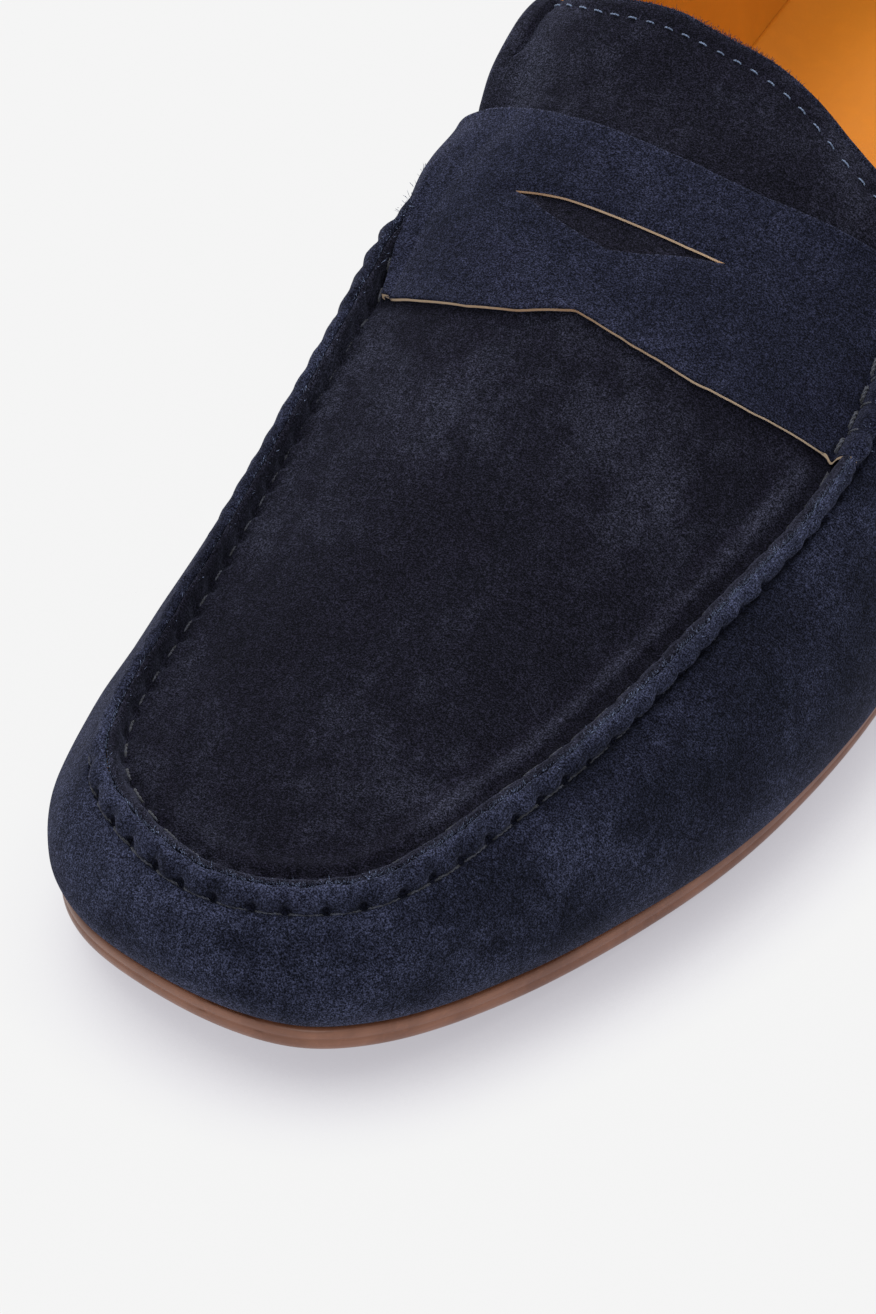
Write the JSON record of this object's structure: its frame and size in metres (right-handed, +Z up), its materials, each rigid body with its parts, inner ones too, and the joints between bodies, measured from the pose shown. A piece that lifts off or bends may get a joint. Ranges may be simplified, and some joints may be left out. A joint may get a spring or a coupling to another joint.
{
  "type": "penny loafer",
  "caption": "Left slip-on penny loafer with a raised moccasin apron seam, slotted saddle strap, free tongue, low stacked heel and leather lining.",
  "frame": {"origin": "centre of the bounding box in plan, on the ground under the shoe", "axes": "+Y from toe to heel, +X to the outer side of the foot, +Z up"},
  "size_m": [0.1, 0.2965, 0.0736],
  "materials": {
    "navy_suede": "dark navy suede with a raised nap",
    "pale_navy_suede": "slightly paler, smoother navy suede",
    "tan_lining_leather": "ochre tan, satin, smooth grain",
    "brown_sole_leather": "red-brown, burnished edge",
    "stacked_heel_leather": "dark brown burnished layers",
    "heel_rubber": "dark brown matt",
    "insole_board_fibre": "matt fibre board",
    "cork_filler": "matt cork",
    "heel_foam": "matt foam",
    "stiffener_board": "matt",
    "shank_steel": "plain spring steel",
    "navy_waxed_thread": "dark navy waxed thread",
    "blue_thread": "grey-blue thread"
  },
  "bodies": {
    "root": {"outsole": "brown_sole_leather", "heel_lift_upper": "stacked_heel_leather", "heel_lift_lower": "stacked_heel_leather", "heel_top_piece": "heel_rubber", "insole_board": "insole_board_fibre", "sock_lining": "tan_lining_leather", "forepart_filler": "cork_filler", "shank": "shank_steel", "heel_pad": "heel_foam", "vamp": "navy_suede", "apron_and_tongue": "navy_suede", "saddle_strap": "pale_navy_suede", "quarter_inner": "navy_suede", "quarter_outer": "navy_suede", "backstay": "navy_suede", "counter_stiffener": "stiffener_board", "toe_stiffener": "stiffener_board", "vamp_lining": "tan_lining_leather", "tongue_lining": "tan_lining_leather", "quarter_lining_inner": "tan_lining_leather", "heel_grip": "tan_lining_leather", "quarter_lining_outer": "tan_lining_leather", "apron_seam_thread": "navy_waxed_thread", "tongue_thread": "blue_thread", "topline_thread_inner": "blue_thread", "topline_thread_outer": "blue_thread", "backstay_thread": "blue_thread", "side_seam_thread_inner": "blue_thread", "side_seam_thread_outer": "blue_thread"}
  },
  "joints": []
}
